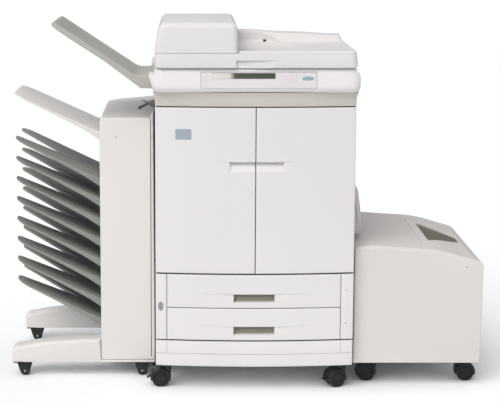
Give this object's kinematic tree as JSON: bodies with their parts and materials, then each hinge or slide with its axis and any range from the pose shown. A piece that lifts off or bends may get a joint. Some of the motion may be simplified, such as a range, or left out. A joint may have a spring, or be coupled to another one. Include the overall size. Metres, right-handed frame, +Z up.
{
  "type": "photocopier",
  "caption": "Floor-standing photocopier with document feeder, paper drawers, side paper feeder and a sorting mailbox of sloping bins.",
  "frame": {"origin": "centre of the whole machine's outline on the floor", "axes": "+X to the right as seen from the front, along the longest side; +Y towards the back, the shortest side; +Z up; the front faces -Y"},
  "size_m": [1.654, 0.73, 1.281],
  "materials": {
    "white_plastic": "fine-grained off-white moulding",
    "warm_plastic": "fine-grained warm white moulding",
    "grey_plastic": "fine-grained light grey moulding",
    "dark_plastic": "grained dark grey-green moulding",
    "black_plastic": "black moulding",
    "engine_plastic": "dark grey moulding",
    "teal_key": "glossy blue-green key",
    "grey_key": "satin grey key",
    "display": "glossy dark display",
    "window": "smoked pane",
    "platen": "clear glass",
    "steel": "zinc-coated sheet",
    "rubber": "black tread",
    "feed_rubber": "dark feed roller"
  },
  "bodies": {
    "main_unit": {"base_plinth": "white_plastic", "chassis": "steel", "front_frame": "white_plastic", "left_side_panel": "white_plastic", "right_side_panel": "white_plastic", "rear_cover": "white_plastic", "print_engine": "engine_plastic", "scanner_housing": "white_plastic", "platen_glass": "platen", "control_panel": "grey_plastic", "touch_screen": "display", "output_wing": "grey_plastic"},
    "left_door": {"left_door": "white_plastic"},
    "right_door": {"right_door": "white_plastic"},
    "upper_drawer": {"upper_drawer": "white_plastic"},
    "lower_drawer": {"lower_drawer": "white_plastic"},
    "upper_lift_plate": {"upper_lift_plate": "steel"},
    "lower_lift_plate": {"lower_lift_plate": "steel"},
    "power_button": {"power_button": "grey_key"},
    "start_button": {"start_button": "teal_key"},
    "scan_carriage": {"scan_carriage": "black_plastic"},
    "multipurpose_tray": {"multipurpose_tray": "grey_plastic"},
    "adf": {"adf_body": "white_plastic"},
    "adf_feed_cover": {"adf_feed_cover": "white_plastic"},
    "adf_pickup_roller": {"adf_pickup_roller": "feed_rubber"},
    "feeder": {"feeder_housing": "warm_plastic"},
    "feeder_lid": {"feeder_lid": "warm_plastic", "feeder_window": "window"},
    "feeder_lift_plate": {"feeder_lift_plate": "steel"},
    "mailbox": {"mailbox_tower": "warm_plastic", "mailbox_base": "warm_plastic", "mailbox_top_tray": "warm_plastic", "bin_1": "dark_plastic", "bin_2": "dark_plastic", "bin_3": "dark_plastic", "bin_4": "dark_plastic", "bin_5": "dark_plastic", "bin_6": "dark_plastic", "bin_7": "dark_plastic", "bin_8": "dark_plastic"},
    "main_caster_hood_front_left": {"main_caster_hood_front_left": "black_plastic"},
    "main_caster_wheel_front_left": {"main_caster_wheel_front_left": "rubber"},
    "main_caster_hood_front_right": {"main_caster_hood_front_right": "black_plastic"},
    "main_caster_wheel_front_right": {"main_caster_wheel_front_right": "rubber"},
    "main_caster_hood_rear_left": {"main_caster_hood_rear_left": "black_plastic"},
    "main_caster_wheel_rear_left": {"main_caster_wheel_rear_left": "rubber"},
    "main_caster_hood_rear_right": {"main_caster_hood_rear_right": "black_plastic"},
    "main_caster_wheel_rear_right": {"main_caster_wheel_rear_right": "rubber"},
    "feeder_caster_hood_front_left": {"feeder_caster_hood_front_left": "black_plastic"},
    "feeder_caster_wheel_front_left": {"feeder_caster_wheel_front_left": "rubber"},
    "feeder_caster_hood_front_right": {"feeder_caster_hood_front_right": "black_plastic"},
    "feeder_caster_wheel_front_right": {"feeder_caster_wheel_front_right": "rubber"},
    "feeder_caster_hood_rear_left": {"feeder_caster_hood_rear_left": "black_plastic"},
    "feeder_caster_wheel_rear_left": {"feeder_caster_wheel_rear_left": "rubber"},
    "feeder_caster_hood_rear_right": {"feeder_caster_hood_rear_right": "black_plastic"},
    "feeder_caster_wheel_rear_right": {"feeder_caster_wheel_rear_right": "rubber"},
    "mailbox_wheel_front_left": {"mailbox_wheel_front_left": "rubber"},
    "mailbox_wheel_front_right": {"mailbox_wheel_front_right": "rubber"},
    "mailbox_wheel_rear_left": {"mailbox_wheel_rear_left": "rubber"},
    "mailbox_wheel_rear_right": {"mailbox_wheel_rear_right": "rubber"}
  },
  "joints": [
    {"name": "left_door_hinge", "type": "hinge", "parent": "main_unit", "child": "left_door", "pos_m": [-0.3065, -0.303, 0.7], "axis": [0, 0, -1], "range_deg": [0, 105]},
    {"name": "right_door_hinge", "type": "hinge", "parent": "main_unit", "child": "right_door", "pos_m": [0.3708, -0.303, 0.7], "axis": [0, 0, 1], "range_deg": [0, 105]},
    {"name": "upper_drawer_slide", "type": "slide", "parent": "main_unit", "child": "upper_drawer", "axis": [0, -1, 0], "range_m": [0, 0.42]},
    {"name": "lower_drawer_slide", "type": "slide", "parent": "main_unit", "child": "lower_drawer", "axis": [0, -1, 0], "range_m": [0, 0.42]},
    {"name": "upper_plate_lift", "type": "slide", "parent": "upper_drawer", "child": "upper_lift_plate", "axis": [0, 0, 1], "range_m": [0, 0.06]},
    {"name": "lower_plate_lift", "type": "slide", "parent": "lower_drawer", "child": "lower_lift_plate", "axis": [0, 0, 1], "range_m": [0, 0.06]},
    {"name": "power_button_press", "type": "slide", "parent": "main_unit", "child": "power_button", "axis": [0, 1, 0], "range_m": [0, 0.0015], "stiffness_N_per_m": 600},
    {"name": "start_button_press", "type": "slide", "parent": "main_unit", "child": "start_button", "axis": [0, 0.9428, -0.3335], "range_m": [0, 0.0015], "stiffness_N_per_m": 600},
    {"name": "scan_carriage_travel", "type": "slide", "parent": "main_unit", "child": "scan_carriage", "axis": [1, 0, 0], "range_m": [0, 0.5]},
    {"name": "multipurpose_tray_hinge", "type": "hinge", "parent": "main_unit", "child": "multipurpose_tray", "pos_m": [0.38, 0.02, 0.534], "axis": [0, 1, 0], "range_deg": [0, 60]},
    {"name": "adf_hinge", "type": "hinge", "parent": "main_unit", "child": "adf", "pos_m": [0.032, 0.175, 1.15], "axis": [-1, 0, 0], "range_deg": [0, 70]},
    {"name": "adf_feed_cover_hinge", "type": "hinge", "parent": "adf", "child": "adf_feed_cover", "pos_m": [-0.3095, -0.095, 1.18], "axis": [0, -1, 0], "range_deg": [0, 75]},
    {"name": "adf_pickup_roller_spin", "type": "hinge", "parent": "adf", "child": "adf_pickup_roller", "pos_m": [-0.125, -0.095, 1.192], "axis": [0, 1, 0], "continuous": true},
    {"name": "mailbox_undock", "type": "slide", "parent": "main_unit", "child": "mailbox", "axis": [-1, 0, 0], "range_m": [0, 0.3]},
    {"name": "feeder_undock", "type": "slide", "parent": "main_unit", "child": "feeder", "axis": [1, 0, 0], "range_m": [0, 0.3]},
    {"name": "feeder_lid_hinge", "type": "hinge", "parent": "feeder", "child": "feeder_lid", "pos_m": [0.631, 0.029, 0.49209], "axis": [0, -1, 0], "range_deg": [0, 80]},
    {"name": "feeder_plate_lift", "type": "slide", "parent": "feeder", "child": "feeder_lift_plate", "axis": [0, 0, 1], "range_m": [0, 0.3]},
    {"name": "main_front_left_swivel", "type": "hinge", "parent": "main_unit", "child": "main_caster_hood_front_left", "pos_m": [-0.273, -0.255, 0.07], "axis": [0, 0, 1], "continuous": true},
    {"name": "main_front_left_roll", "type": "hinge", "parent": "main_caster_hood_front_left", "child": "main_caster_wheel_front_left", "pos_m": [-0.293, -0.255, 0.031], "axis": [0, 1, 0], "continuous": true},
    {"name": "main_front_right_swivel", "type": "hinge", "parent": "main_unit", "child": "main_caster_hood_front_right", "pos_m": [0.337, -0.255, 0.07], "axis": [0, 0, 1], "continuous": true},
    {"name": "main_front_right_roll", "type": "hinge", "parent": "main_caster_hood_front_right", "child": "main_caster_wheel_front_right", "pos_m": [0.31887, -0.26345, 0.031], "axis": [-0.4226, 0.9063, 0], "continuous": true},
    {"name": "main_rear_left_swivel", "type": "hinge", "parent": "main_unit", "child": "main_caster_hood_rear_left", "pos_m": [-0.24, 0.255, 0.07], "axis": [0, 0, 1], "continuous": true},
    {"name": "main_rear_left_roll", "type": "hinge", "parent": "main_caster_hood_rear_left", "child": "main_caster_wheel_rear_left", "pos_m": [-0.26, 0.255, 0.031], "axis": [0, 1, 0], "continuous": true},
    {"name": "main_rear_right_swivel", "type": "hinge", "parent": "main_unit", "child": "main_caster_hood_rear_right", "pos_m": [0.304, 0.255, 0.07], "axis": [0, 0, 1], "continuous": true},
    {"name": "main_rear_right_roll", "type": "hinge", "parent": "main_caster_hood_rear_right", "child": "main_caster_wheel_rear_right", "pos_m": [0.284, 0.255, 0.031], "axis": [0, 1, 0], "continuous": true},
    {"name": "feeder_front_left_swivel", "type": "hinge", "parent": "feeder", "child": "feeder_caster_hood_front_left", "pos_m": [0.455, -0.186, 0.07], "axis": [0, 0, 1], "continuous": true},
    {"name": "feeder_front_left_roll", "type": "hinge", "parent": "feeder_caster_hood_front_left", "child": "feeder_caster_wheel_front_left", "pos_m": [0.435, -0.186, 0.031], "axis": [0, 1, 0], "continuous": true},
    {"name": "feeder_front_right_swivel", "type": "hinge", "parent": "feeder", "child": "feeder_caster_hood_front_right", "pos_m": [0.768, -0.186, 0.07], "axis": [0, 0, 1], "continuous": true},
    {"name": "feeder_front_right_roll", "type": "hinge", "parent": "feeder_caster_hood_front_right", "child": "feeder_caster_wheel_front_right", "pos_m": [0.788, -0.186, 0.031], "axis": [0, -1, 0], "continuous": true},
    {"name": "feeder_rear_left_swivel", "type": "hinge", "parent": "feeder", "child": "feeder_caster_hood_rear_left", "pos_m": [0.455, 0.244, 0.07], "axis": [0, 0, 1], "continuous": true},
    {"name": "feeder_rear_left_roll", "type": "hinge", "parent": "feeder_caster_hood_rear_left", "child": "feeder_caster_wheel_rear_left", "pos_m": [0.435, 0.244, 0.031], "axis": [0, 1, 0], "continuous": true},
    {"name": "feeder_rear_right_swivel", "type": "hinge", "parent": "feeder", "child": "feeder_caster_hood_rear_right", "pos_m": [0.768, 0.244, 0.07], "axis": [0, 0, 1], "continuous": true},
    {"name": "feeder_rear_right_roll", "type": "hinge", "parent": "feeder_caster_hood_rear_right", "child": "feeder_caster_wheel_rear_right", "pos_m": [0.788, 0.244, 0.031], "axis": [0, -1, 0], "continuous": true},
    {"name": "mailbox_front_left_roll", "type": "hinge", "parent": "mailbox", "child": "mailbox_wheel_front_left", "pos_m": [-0.783, -0.132, 0.018], "axis": [0, 1, 0], "continuous": true},
    {"name": "mailbox_front_right_roll", "type": "hinge", "parent": "mailbox", "child": "mailbox_wheel_front_right", "pos_m": [-0.361, -0.132, 0.018], "axis": [0, 1, 0], "continuous": true},
    {"name": "mailbox_rear_left_roll", "type": "hinge", "parent": "mailbox", "child": "mailbox_wheel_rear_left", "pos_m": [-0.783, 0.325, 0.018], "axis": [0, 1, 0], "continuous": true},
    {"name": "mailbox_rear_right_roll", "type": "hinge", "parent": "mailbox", "child": "mailbox_wheel_rear_right", "pos_m": [-0.361, 0.325, 0.018], "axis": [0, 1, 0], "continuous": true}
  ]
}
